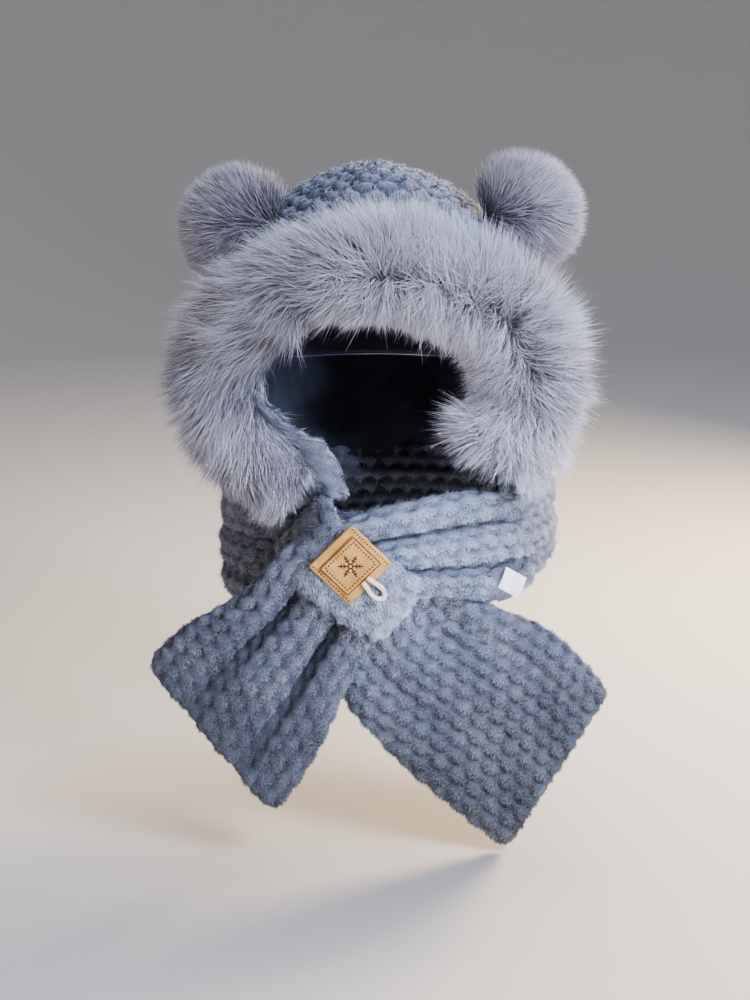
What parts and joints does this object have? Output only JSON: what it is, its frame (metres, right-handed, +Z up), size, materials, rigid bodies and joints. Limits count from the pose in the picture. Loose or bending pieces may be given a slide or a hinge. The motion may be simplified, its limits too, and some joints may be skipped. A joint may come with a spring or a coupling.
{
  "type": "animal hood scarf",
  "caption": "Knitted plush hood with round fur ears, a fur-trimmed face opening and a long scarf crossed through a keeper in front.",
  "frame": {"origin": "inner top of the crown, where the hood sits on the head", "axes": "+Z up, the face opening looks along -Y, +X is the wearer's left"},
  "size_m": [0.372, 0.2924, 0.5643],
  "materials": {
    "knit_plush": "soft plush yarn in a chunky knit",
    "lining_plush": "short smooth plush",
    "trim_fur": "deep fur, pale tips over dark roots",
    "ear_fur": "dense fur, pale tips over dark roots",
    "clear_film": "clear film with a slight violet cast",
    "tan_leather": "smooth vegetable tan, engraved and stitched",
    "cream_cord": "round braided cotton",
    "white_satin": "woven satin tape"
  },
  "bodies": {
    "root": {"hood_shell": "knit_plush", "hood_lining": "lining_plush", "fur_trim": "trim_fur", "ear_left": "ear_fur", "ear_right": "ear_fur", "visor": "clear_film", "scarf_band": "knit_plush", "keeper_loop": "knit_plush", "patch_base": "tan_leather", "patch_top": "tan_leather", "cord_loop": "cream_cord", "care_label": "white_satin"}
  },
  "joints": []
}
